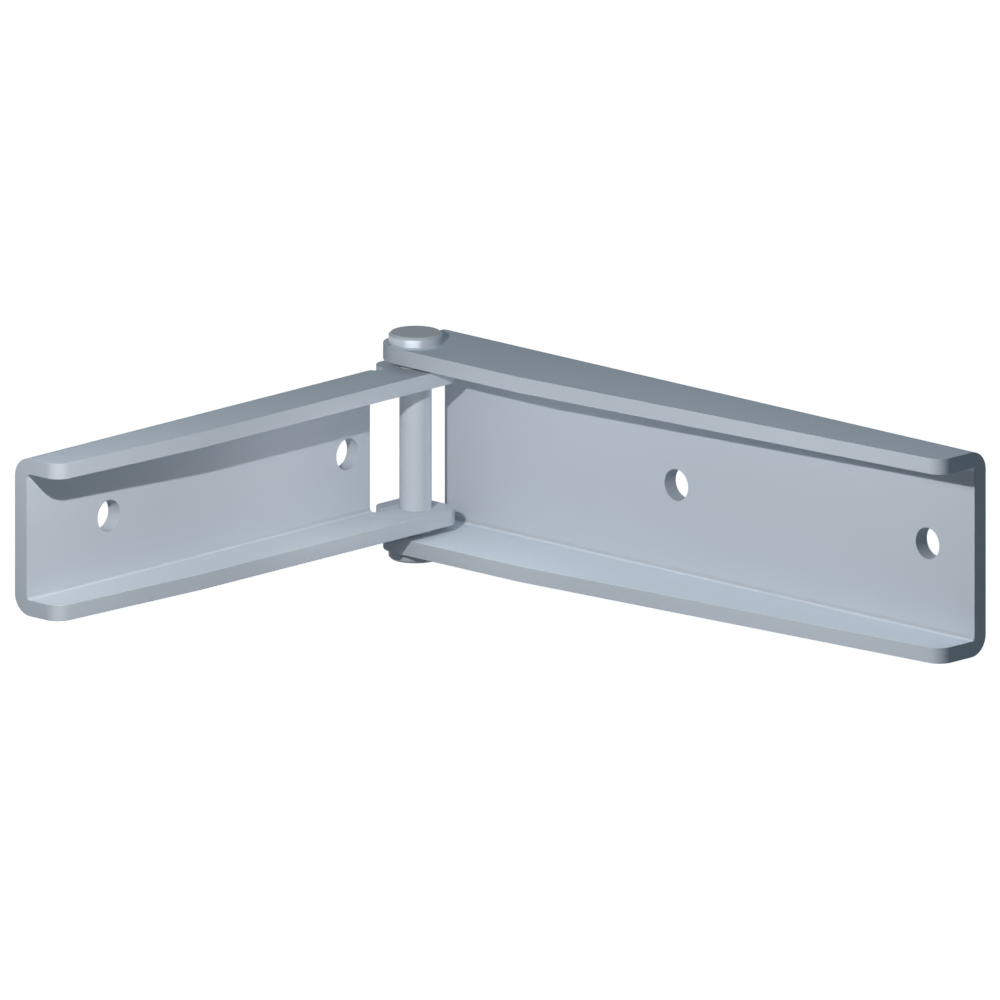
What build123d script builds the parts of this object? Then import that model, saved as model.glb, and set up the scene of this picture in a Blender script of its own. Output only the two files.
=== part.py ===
from build123d import *
import math
import os

# A pair of folded sheet channels that turn on one riveted pin.
# The narrow channel swings into the wide one, so the hinge folds flat into itself.
# Lengths are in millimetres. Along a leaf, "reach" runs from the pin axis to the free end,
# and "front" is the open side of its channel. The leaves are drawn at a right angle.

# Sheet
sheet = 3.0  # thickness of both leaves
bend_inner_radius = 0.8
corner_radius = 3.0  # corners of the flanges and ears in plan

# Inner leaf, the narrow channel
inner_height = 30.0  # over both flanges
inner_length = 100.0  # pin axis to free end
inner_depth = 13.0  # web's back to the flanges' front edges, near the pin
inner_end_depth = 11.0  # the same at the free end
inner_taper_start = 64.0  # pin axis to where the front edges start to taper
inner_web_start = 8.0  # pin axis to the web's cut end
inner_first_hole = 14.0  # pin axis to the screw hole nearest it
relief_width = 3.0  # slot beside the web's cut end, in each flange

# Outer leaf, the wide channel
outer_length = 132.0
outer_depth = 20.0
outer_end_depth = 12.0
outer_taper_start = 32.0
outer_web_overrun = 3.0  # the web runs this far past the pin axis
outer_hole_margin = 12.0

# Screw holes, two in each web
hole_spacing = 64.0
screw_hole_radius = 3.0

# Pin and ears
ear_radius = 6.0  # pin axis to the ears' ends and to the front edges
ear_gap = 1.5  # between each inner ear and the outer ear beside it
shank_radius = 3.0
head_radius = 5.0
head_height = 2.0
head_chamfer = 0.45
swing_clearance = 0.03  # radial, where the inner leaf turns on the pin
seat_clearance = 0.02  # radial, where the outer leaf holds the pin

# Sizes that follow from those above
bend_outer_radius = bend_inner_radius + sheet
outer_height = inner_height + 2 * (ear_gap + sheet)
inner_back = inner_depth - ear_radius
outer_back = outer_depth - ear_radius
inner_holes = [inner_first_hole, inner_first_hole + hole_spacing]
outer_holes = [outer_length - outer_hole_margin - hole_spacing, outer_length - outer_hole_margin]

# The part's origin is midway between the outer leaf's screw holes, on the back of its web.
pin_x = -(outer_holes[0] + outer_holes[1]) / 2
pin_y = -outer_back
pivot = Vector(pin_x, pin_y, 0)

# The outer leaf reaches along +X and opens towards -Y. The inner leaf reaches along -Y
# and opens towards +X.
outer_reach = Vector(1, 0, 0)
outer_front = Vector(0, -1, 0)
inner_reach = Vector(0, -1, 0)
inner_front = Vector(1, 0, 0)


def plan_plane(reach, front):
    # seen along the pin: local x is the reach, local y the distance in front of the pin axis
    return Plane(origin=pivot, x_dir=reach, z_dir=reach.cross(front))


def channel_section(reach, front, start, height, back):
    # the folded sheet's U section, where it starts along the leaf
    with BuildSketch(Plane(origin=pivot + reach * start, x_dir=front, z_dir=reach)) as section:
        outside = height / 2
        inside = height / 2 - sheet
        with BuildLine():
            FilletPolyline(
                (ear_radius, outside), (-back, outside), (-back, -outside), (ear_radius, -outside),
                radius=bend_outer_radius,
            )
            FilletPolyline(
                (ear_radius, inside),
                (sheet - back, inside),
                (sheet - back, -inside),
                (ear_radius, -inside),
                radius=bend_inner_radius,
            )
            Line((ear_radius, outside), (ear_radius, inside))
            Line((ear_radius, -outside), (ear_radius, -inside))
        make_face()
    return section.sketch


def web_back_plane(reach, front, back):
    # the back of a leaf's web, looking at it from outside
    return Plane(origin=pivot - front * back, x_dir=reach, z_dir=-front)


# Outer leaf: the U runs past the pin, and its plan shape leaves two round-ended ears there.
with BuildPart() as outer_leaf:
    plan = plan_plane(outer_reach, outer_front)
    extrude(
        channel_section(outer_reach, outer_front, -ear_radius, outer_height, outer_back),
        amount=ear_radius + outer_length,
    )
    with BuildSketch(plan) as outline:
        ear_back = math.sqrt(ear_radius**2 - outer_web_overrun**2)
        with BuildLine():
            ThreePointArc((-outer_web_overrun, -ear_back), (-ear_radius, 0), (0, ear_radius))
            Polyline(
                (0, ear_radius),
                (outer_taper_start, ear_radius),
                (outer_length, outer_end_depth - outer_back),
                (outer_length, -outer_back),
                (-outer_web_overrun, -outer_back),
                (-outer_web_overrun, -ear_back),
            )
        make_face()
        fillet(outline.vertices().group_by(Axis.X)[-1].sort_by(Axis.Y)[-1], radius=corner_radius)
    extrude(amount=outer_height / 2, both=True, mode=Mode.INTERSECT)
    with Locations(plan):
        Hole(shank_radius + seat_clearance)
    with Locations(web_back_plane(outer_reach, outer_front, outer_back)):
        with Locations(*[(reach, 0) for reach in outer_holes]):
            Hole(screw_hole_radius)
outer_leaf.part.label = "outer_leaf"

# Inner leaf: the U stops short of the pin and two flat ears carry on to it. A relief slot
# beside the web's cut end keeps each ear clear of the bend.
with BuildPart() as inner_leaf:
    plan = plan_plane(inner_reach, inner_front)
    extrude(
        channel_section(inner_reach, inner_front, inner_web_start, inner_height, inner_back),
        amount=inner_length - inner_web_start,
    )
    for level in (-inner_height / 2, inner_height / 2 - sheet):
        with BuildSketch(plan.offset(level)):
            with BuildLine():
                Polyline(
                    (-ear_radius, -inner_back),
                    (inner_web_start, -inner_back),
                    (inner_web_start, ear_radius),
                    (-ear_radius, ear_radius),
                    close=True,
                )
            make_face()
        extrude(amount=sheet)
    with BuildSketch(plan) as outline:
        with BuildLine():
            Polyline(
                (-ear_radius, -inner_back),
                (-ear_radius, ear_radius),
                (inner_taper_start, ear_radius),
                (inner_length, inner_end_depth - inner_back),
                (inner_length, -inner_back),
                close=True,
            )
        make_face()
        free_end_corner = outline.vertices().group_by(Axis.X)[-1].sort_by(Axis.Y)[-1]
        ear_corners = outline.vertices().group_by(Axis.X)[0]
        fillet([free_end_corner, *ear_corners], radius=corner_radius)
    extrude(amount=inner_height / 2, both=True, mode=Mode.INTERSECT)
    with BuildSketch(plan):
        slot_end = sheet - inner_back
        slot_side = inner_web_start - relief_width
        with BuildLine():
            Polyline(
                (slot_side, slot_end),
                (slot_side, -inner_back),
                (inner_web_start, -inner_back),
                (inner_web_start, slot_end),
            )
            ThreePointArc(
                (inner_web_start, slot_end),
                (inner_web_start - relief_width / 2, slot_end + relief_width / 2),
                (slot_side, slot_end),
            )
        make_face()
        ear_corner_reach = slot_side - corner_radius
        ear_corner_front = corner_radius - inner_back
        with BuildLine():
            Polyline(
                (slot_side, ear_corner_front),
                (slot_side, -inner_back),
                (ear_corner_reach, -inner_back),
            )
            RadiusArc((ear_corner_reach, -inner_back), (slot_side, ear_corner_front), -corner_radius)
        make_face()
    extrude(amount=inner_height / 2, both=True, mode=Mode.SUBTRACT)
    with Locations(plan):
        Hole(shank_radius + swing_clearance)
    with Locations(web_back_plane(inner_reach, inner_front, inner_back)):
        with Locations(*[(reach, 0) for reach in inner_holes]):
            Hole(screw_hole_radius)
inner_leaf.part.label = "inner_leaf"

# Pin: a plain shank through all four ears, with a flat chamfered head formed on each end.
with BuildPart() as hinge_pin:
    grip = outer_height / 2
    tip = outer_height / 2 + head_height
    with BuildSketch(Plane(origin=pivot, x_dir=(1, 0, 0), z_dir=(0, -1, 0))):
        with BuildLine():
            Polyline(
                (0, -tip),
                (head_radius - head_chamfer, -tip),
                (head_radius, head_chamfer - tip),
                (head_radius, -grip),
                (shank_radius, -grip),
                (shank_radius, grip),
                (head_radius, grip),
                (head_radius, tip - head_chamfer),
                (head_radius - head_chamfer, tip),
                (0, tip),
                close=True,
            )
        make_face()
    revolve(axis=Axis(origin=pivot, direction=(0, 0, 1)))
hinge_pin.part.label = "hinge_pin"

os.makedirs("parts", exist_ok=True)
export_step(outer_leaf.part, "parts/outer_leaf.step")
export_step(inner_leaf.part, "parts/inner_leaf.step")
export_step(hinge_pin.part, "parts/hinge_pin.step")
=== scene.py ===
import math

import bpy
import numpy as np
from mathutils import Matrix, Vector

# A folding channel hinge: two leaves of folded sheet steel on one headed pin.
# Everything is in metres, in the part's own frame: +Z runs along the pin.

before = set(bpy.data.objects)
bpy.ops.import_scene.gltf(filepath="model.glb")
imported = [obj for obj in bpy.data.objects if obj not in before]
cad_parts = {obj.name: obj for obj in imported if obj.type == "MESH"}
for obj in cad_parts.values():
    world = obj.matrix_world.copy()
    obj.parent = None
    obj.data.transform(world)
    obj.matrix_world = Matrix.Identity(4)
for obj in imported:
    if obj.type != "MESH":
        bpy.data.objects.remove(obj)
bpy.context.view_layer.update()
print("frame loaded:", sorted(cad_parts))

pivot = Vector((-0.088, -0.014, 0.0))  # the pin's axis, at mid height
openSide = (0.59, -0.81)  # level direction from the pin into the angle between the leaves
webSide = (0.7, 0.7)  # level direction from the pin towards the wide leaf's web
hair = 0.00003  # keeps the edge of a mask just off the face where it ends


# Shader maths as plain expressions

class Value:
    def __init__(self, tree, socket):
        self.tree = tree
        self.socket = socket

    def maths(self, operation, left, right):
        return self.tree.add("ShaderNodeMath", {"operation": operation}, {0: left, 1: right})

    def __add__(self, other):
        return self.maths("ADD", self, other)

    __radd__ = __add__

    def __sub__(self, other):
        return self.maths("SUBTRACT", self, other)

    def __rsub__(self, other):
        return self.maths("SUBTRACT", other, self)

    def __mul__(self, other):
        return self.maths("MULTIPLY", self, other)

    __rmul__ = __mul__

    def atMost(self, other):
        return self.maths("MINIMUM", self, other)

    def above(self, other):
        # 1 where this is the larger, 0 elsewhere
        return self.maths("GREATER_THAN", self, other)

    def size(self):
        return self.maths("ABSOLUTE", self, 0.0)

    def rising(self, start, end):
        # 0 at start, 1 at end, soft between them
        return self.tree.add(
            "ShaderNodeMapRange",
            {"interpolation_type": "SMOOTHSTEP"},
            {"Value": self, "From Min": start, "From Max": end},
        )


class Tree:
    # one call adds a node: its type, its settings, then the values or links of its sockets
    def __init__(self, nodeTree):
        self.nodeTree = nodeTree
        nodeTree.nodes.clear()

    def add(self, kind, settings=None, inputs=None, output=0):
        node = self.nodeTree.nodes.new(kind)
        for name, value in (settings or {}).items():
            setattr(node, name, value)
        for name, value in (inputs or {}).items():
            socket = node.inputs[name]
            if isinstance(value, Value):
                self.nodeTree.links.new(value.socket, socket)
            else:
                socket.default_value = value
        if not node.outputs:
            return node
        return Value(self, node.outputs[output])

    def objectPlace(self):
        # the Object coordinates, whole and as x, y and z
        place = self.add("ShaderNodeTexCoord", output="Object")
        parts = [
            self.add("ShaderNodeSeparateXYZ", inputs={0: place}, output=axis)
            for axis in range(3)
        ]
        return place, parts


def newMaterial(name):
    material = bpy.data.materials.new(name)
    material.use_nodes = True
    return material, Tree(material.node_tree)


# Distances from the pin's axis, for tones that lie around it

def fromPin(parts):
    return parts[0] - pivot.x, parts[1] - pivot.y


def towards(offset, direction):
    return offset[0] * direction[0] + offset[1] * direction[1]


# Satin zinc coat

def satinCoat(tree, look, place, tone):
    mottle = tree.add(
        "ShaderNodeTexNoise",
        inputs={"Vector": place, "Scale": look["mottleScale"], "Detail": look["mottleDetail"]},
    )
    wander = 1 + (mottle - 0.5) * (2 * look["mottle"])
    return tree.add(
        "ShaderNodeVectorMath",
        {"operation": "SCALE"},
        {0: look["colour"], "Scale": wander * tone},
    )


def satinSurface(tree, look, coat, metal, grainPlace):
    grain = tree.add(
        "ShaderNodeTexNoise",
        inputs={"Vector": grainPlace, "Scale": look["grainScale"], "Detail": look["grainDetail"]},
    )
    softEdge = tree.add("ShaderNodeBevel", {"samples": 4}, {"Radius": look["edgeRadius"]})
    surface = tree.add(
        "ShaderNodeBsdfPrincipled",
        inputs={
            "Base Color": coat,
            "Metallic": metal,
            "Roughness": look["roughness"] + (grain - 0.5) * (2 * look["grain"]),
            "Specular IOR Level": look["specular"],
            "Normal": softEdge,
        },
    )
    tree.add("ShaderNodeOutputMaterial", inputs={"Surface": surface})


# The leaves

leafSteel = {
    "colour": (0.463, 0.494, 0.533),
    "metal": 0.0,
    "roughness": 0.58,
    "specular": 0.06,
    "mottle": 0.018,  # how far the coat's tone wanders, as a share of its colour
    "mottleScale": 60.0,  # patches per metre
    "mottleDetail": 3.0,
    "grain": 0.03,  # fine change of roughness along the sheet
    "grainScale": 900.0,
    "grainDetail": 2.0,
    "edgeRadius": 0.00012,  # broken edges catch a little light
    "sheet": 0.003,
    "bendRadius": 0.0008,
    "faceMargin": 0.0002,  # a mask starts this far behind the web's inner face
    "bendTone": 0.92,  # painted shade: the inside of a bend is painted a little darker
    "bendFade": (0.0010, 0.0005),  # that tone starts and is full at these distances from the flange
    "bounceLightFade": 0.0003,  # the painted bounce light starts at this distance from the flange
    "endFade": 0.003,  # the sheared edges' tone fades out along the rounded corner
}

# Half the leaf's height between its flanges, where it ends, and the tones of its coat. The inner
# faces
# of the flanges are painted brighter: painted bounce light from the webs. The web and the sheared
# edges have one tone at the start of toneStretch and another at its end, further from the pin:
# painted light and shade.
outerFold = {
    "inside": 0.0165,
    "end": 0.044,
    "grainStretch": (0.15, 1.0, 1.0),  # the grain runs along the sheet
    "toneStretch": (-0.080, 0.044),
    "webTones": (1.02, 1.03),
    "cutTones": (0.88, 1.02),
    "paintedBounceTone": 1.55,
    "paintedEndLight": 0.1,  # painted bounce light: the flanges' inner faces are painted this much brighter towards the free end
    "paintedEndLightStretch": (0.005, 0.044),
    "corner": -0.33,  # painted shade: the web's upper corner, under the top flange, is painted darker
    "cornerHeight": (0.0115, 0.0135),
    "cornerStretch": (-0.03, 0.025),
    "paintedEarGlint": 0.45,  # painted highlight: the upper ear is painted bright in front of the pin's head
    "paintedEarGlintRadii": (0.0055, 0.0072),
    "paintedEarGlintFront": (0.002, 0.0055),
}
innerFold = {
    "inside": 0.0120,
    "end": 0.100,
    "back": -0.095,  # x of the back of its web
    "grainStretch": (1.0, 0.15, 1.0),
    "toneStretch": (0.0, 0.035),
    "webTones": (1.11, 1.01),
    "cutTones": (1.18, 0.92),
    "paintedBounceTone": 1.26,
}


def outerReach(parts):
    # distance along the wide leaf, and in from the back of its web
    return parts[0], 0 - parts[1]


def innerReach(parts):
    # the same for the narrow leaf, counted from the pin's axis
    return pivot.y - parts[1], parts[0] - innerFold["back"]


def sheetFaces(fold, reach, depth, height):
    # masks, 1 on one kind of face: inner face of a flange, inside of the bend, web, sheared edge
    sheet = leafSteel["sheet"]
    inside = fold["inside"]
    inFront = depth.above(sheet - leafSteel["faceMargin"])
    between = (1 - height.above(inside + hair)) * inFront
    paintedBounceFace = between * height.rising(inside - leafSteel["bounceLightFade"], inside - hair)
    bendStart, bendFull = leafSteel["bendFade"]
    bend = between * height.rising(inside - bendStart, inside - bendFull) - paintedBounceFace
    bendEnd = sheet + leafSteel["bendRadius"]
    web = (1 - height.above(inside - leafSteel["bendRadius"])) * inFront
    web = web * (bendEnd - depth).above(0.0)
    strip = height.above(inside + hair) * (1 - height.above(inside + sheet - hair))
    atEnd = reach.rising(fold["end"] - leafSteel["endFade"], fold["end"])
    cut = strip * depth.above(bendEnd + hair) * (1 - atEnd)
    return paintedBounceFace, bend, web, cut


def outerPaintedLight(parts, reach, paintedBounceFace, web):
    # painted light and shade on the wide leaf: bounce light at its free end, shade in its web's
    # upper corner, a highlight by the pin
    fold = outerFold
    tone = paintedBounceFace * reach.rising(*fold["paintedEndLightStretch"]) * fold["paintedEndLight"]
    corner = web * parts[2].rising(*fold["cornerHeight"]) * reach.rising(*fold["cornerStretch"])
    tone = tone + corner * fold["corner"]
    offset = fromPin(parts)
    near, far = fold["paintedEarGlintRadii"]
    ring = 1 - (offset[0] * offset[0] + offset[1] * offset[1]).rising(near ** 2, far ** 2)
    ring = ring * towards(offset, openSide).rising(*fold["paintedEarGlintFront"])
    onEar = parts[2].above(fold["inside"] + leafSteel["sheet"] - hair)
    return tone + ring * onEar * fold["paintedEarGlint"]


def sheetMaterial(name, fold, reachAndDepth, paintedLight=None):
    material, tree = newMaterial(name)
    place, parts = tree.objectPlace()
    reach, depth = reachAndDepth(parts)
    paintedBounceFace, bend, web, cut = sheetFaces(fold, reach, depth, parts[2].size())
    # painted bounce light on the flanges' inner faces, painted shade inside the bends
    tone = 1 + paintedBounceFace * (fold["paintedBounceTone"] - 1) + bend * (leafSteel["bendTone"] - 1)
    away = reach.rising(*fold["toneStretch"])
    # painted light and shade along the web and the sheared edges, changing away from the pin
    for face, (nearTone, farTone) in ((web, fold["webTones"]), (cut, fold["cutTones"])):
        tone = tone + face * (away * (farTone - nearTone) + (nearTone - 1))
    # the wide leaf's painted light, shade and highlight
    if paintedLight:
        tone = tone + paintedLight(parts, reach, paintedBounceFace, web)
    coat = satinCoat(tree, leafSteel, place, tone)
    along = tree.add(
        "ShaderNodeMapping", inputs={"Vector": place, "Scale": fold["grainStretch"]}
    )
    satinSurface(tree, leafSteel, coat, leafSteel["metal"], along)
    return material


# The pin

pinSteel = {
    "colour": (0.476, 0.505, 0.540),
    "metal": 0.0,
    "roughness": 0.42,
    "specular": 0.12,
    "mottle": 0.012,
    "mottleScale": 120.0,
    "mottleDetail": 3.0,
    "grain": 0.03,
    "grainScale": 1400.0,
    "grainDetail": 2.0,
    "edgeRadius": 0.00012,
    "headFoot": 0.0196,  # just above the ear that the head sits on
    "headTop": 0.0215,
    "chamfer": 0.0005,
    "topTone": 0.66,  # painted shade: the heads' tops are painted darker
    "sideTone": 1.2,  # painted highlight: the upper head's side is painted brighter
    "sideMetal": 0.35,
    "paintedHeadGlint": 0.5,  # painted highlight: one patch of it is painted brighter still
    "paintedHeadGlintFront": (0.0046, 0.0050),
    "lowerTone": 0.75,  # painted shade: the lower head, the hammered-over end, is painted darker
    "paintedReflectionTone": 1.7,  # painted reflection of the wide leaf's web: the shank is painted brighter on the side towards it
    "paintedReflectionFront": (0.0015, 0.0031),
}


def pinMaterial():
    look = pinSteel
    material, tree = newMaterial("zincPin")
    place, parts = tree.objectPlace()
    level = parts[2]
    offset = fromPin(parts)
    shank = 1 - level.size().above(look["headFoot"])
    paintedReflection = towards(offset, webSide).rising(*look["paintedReflectionFront"]) * shank
    top = level.size().above(look["headTop"] - hair)
    side = level.above(look["headFoot"]) * (1 - level.above(look["headTop"] - look["chamfer"]))
    patch = towards(offset, openSide).rising(*look["paintedHeadGlintFront"])
    lower = (0 - level).above(look["headFoot"])
    # painted shade on the heads' tops and the lower head
    tone = 1 + top * (look["topTone"] - 1) + lower * (look["lowerTone"] - 1)
    # painted highlight on the upper head's side
    tone = tone + side * (patch * look["paintedHeadGlint"] + (look["sideTone"] - 1))
    # painted reflection of the wide leaf's web on the shank
    tone = tone + paintedReflection * (look["paintedReflectionTone"] - 1)
    coat = satinCoat(tree, look, place, tone)
    satinSurface(tree, look, coat, side * look["sideMetal"] + look["metal"], place)
    return material


def dress(node, material):
    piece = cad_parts[node]
    piece.data.materials.clear()
    piece.data.materials.append(material)


dress("outer_leaf", sheetMaterial("zincSheetOuter", outerFold, outerReach, outerPaintedLight))
dress("inner_leaf", sheetMaterial("zincSheetInner", innerFold, innerReach))
dress("hinge_pin", pinMaterial())
print("steel on the leaves and the pin")


# Floor and backdrop

studio = {
    "floorDrop": 0.45,  # the hinge is shown held up, well above the floor
    "floorHalf": 12.0,
    "floorColour": (0.92, 0.92, 0.92, 1.0),
    "floorGlow": 0.92,  # brings the floor's own colour up to white where the camera sees it
    "backdrop": (1.0, 1.0, 1.0, 1.0),
    "ambient": 0.143,
    "ambientColour": (0.79, 1.0, 1.16, 1.0),
}


def backgroundRay(tree):
    # 1 where the camera, a reflection or a transmission looks at the background itself
    camera, glossy, through = [
        tree.add("ShaderNodeLightPath", output=name)
        for name in ("Is Camera Ray", "Is Glossy Ray", "Is Transmission Ray")
    ]
    return (camera + glossy + through).atMost(1.0)


def addFloor():
    half = studio["floorHalf"]
    corners = np.array([(-half, -half), (half, -half), (half, half), (-half, half)])
    points = np.column_stack([corners, np.full(4, -studio["floorDrop"])])
    mesh = bpy.data.meshes.new("floor")
    mesh.from_pydata(points.tolist(), [], [(0, 1, 2, 3)])
    floor = bpy.data.objects.new("floor", mesh)
    bpy.context.collection.objects.link(floor)
    material, tree = newMaterial("paleFloor")
    paint = tree.add("ShaderNodeBsdfDiffuse", inputs={"Color": studio["floorColour"]})
    white = tree.add(
        "ShaderNodeEmission",
        inputs={
            "Color": studio["backdrop"],
            "Strength": backgroundRay(tree) * studio["floorGlow"],
        },
    )
    both = tree.add("ShaderNodeAddShader", inputs={0: paint, 1: white})
    tree.add("ShaderNodeOutputMaterial", inputs={"Surface": both})
    mesh.materials.append(material)


def setWorld():
    world = bpy.data.worlds.new("studioWorld")
    bpy.context.scene.world = world
    world.use_nodes = True
    tree = Tree(world.node_tree)
    seen = tree.add(
        "ShaderNodeBackground", inputs={"Color": studio["backdrop"], "Strength": 1.0}
    )
    soft = tree.add(
        "ShaderNodeBackground",
        inputs={"Color": studio["ambientColour"], "Strength": studio["ambient"]},
    )
    mixed = tree.add("ShaderNodeMixShader", inputs={0: backgroundRay(tree), 1: soft, 2: seen})
    tree.add("ShaderNodeOutputWorld", inputs={"Surface": mixed})


addFloor()
setWorld()
print("floor and world")


# Lamps: a small bright key near the hinge, faint fills that stand for light thrown back between
# the leaves, and soft boxes above and behind. A soft box has a width in place of a radius.

plainLight = (1.0, 1.0, 1.0)
lamps = {
    "key": {
        "place": (0.0139, -0.2015, 0.0956),
        "power": 1.235,
        "radius": 0.002,
        "colour": plainLight,
    },
    "cornerFill": {
        "place": (-0.063, -0.044, 0.0),
        "power": 0.0095,
        "radius": 0.008,
        "colour": plainLight,
    },
    "webFill": {
        "place": (0.012, -0.089, 0.0),
        "power": 0.033,
        "radius": 0.015,
        "colour": plainLight,
    },
    "overhead": {
        "place": (-0.03, -0.05, 0.9),
        "power": 0.55,
        "width": 1.2,
        "colour": (0.3, 1.0, 1.5),
    },
    "backFill": {
        "place": (-0.55, 0.45, -0.16),
        "power": 2.5,
        "width": 0.5,
        "colour": plainLight,
    },
}
lampAim = Vector((-0.03, -0.05, 0.0))  # only the soft boxes need it


def addLamp(name, look):
    isBox = "width" in look
    light = bpy.data.lights.new(name, "AREA" if isBox else "POINT")
    light.energy = look["power"]
    light.color = look["colour"]
    if isBox:
        light.size = look["width"]
    else:
        light.shadow_soft_size = look["radius"]
    lamp = bpy.data.objects.new(name, light)
    lamp.location = look["place"]
    lamp.rotation_euler = (lampAim - lamp.location).to_track_quat("-Z", "Y").to_euler()
    lamp.visible_camera = False
    lamp.visible_glossy = not isBox  # reflections show the white backdrop in place of a box
    bpy.context.collection.objects.link(lamp)


for name, look in lamps.items():
    addLamp(name, look)
print("lamps")


# Camera: a parallel view, as the photograph's

photoView = {
    "azimuth": 43.55,  # degrees; 0 looks along +Y
    "elevation": 14.14,
    "pixelsPerMetre": 5415.0,
    "pixels": 1000,
    "pinAt": (415.5, 444.54),  # where the pin's middle shows, in pixels from the top left
    "distance": 1.5,
    "clipEnd": 50.0,
}


def addCamera():
    azimuth = math.radians(photoView["azimuth"])
    elevation = math.radians(photoView["elevation"])
    right = Vector((math.cos(azimuth), math.sin(azimuth), 0))
    forward = Vector((
        -math.sin(azimuth) * math.cos(elevation),
        math.cos(azimuth) * math.cos(elevation),
        -math.sin(elevation),
    ))
    up = right.cross(forward)
    half = photoView["pixels"] / 2
    scale = photoView["pixelsPerMetre"]
    centre = pivot + right * ((half - photoView["pinAt"][0]) / scale)
    centre = centre - up * ((half - photoView["pinAt"][1]) / scale)
    data = bpy.data.cameras.new("photoCamera")
    data.type = "ORTHO"
    data.ortho_scale = photoView["pixels"] / scale
    data.clip_end = photoView["clipEnd"]
    camera = bpy.data.objects.new("photoCamera", data)
    turn = Matrix((right, up, -forward)).transposed()
    back = Matrix.Translation(centre - forward * photoView["distance"])
    camera.matrix_world = back @ turn.to_4x4()
    bpy.context.collection.objects.link(camera)
    bpy.context.scene.camera = camera


addCamera()
bpy.context.scene.view_settings.view_transform = "Standard"
print("camera")
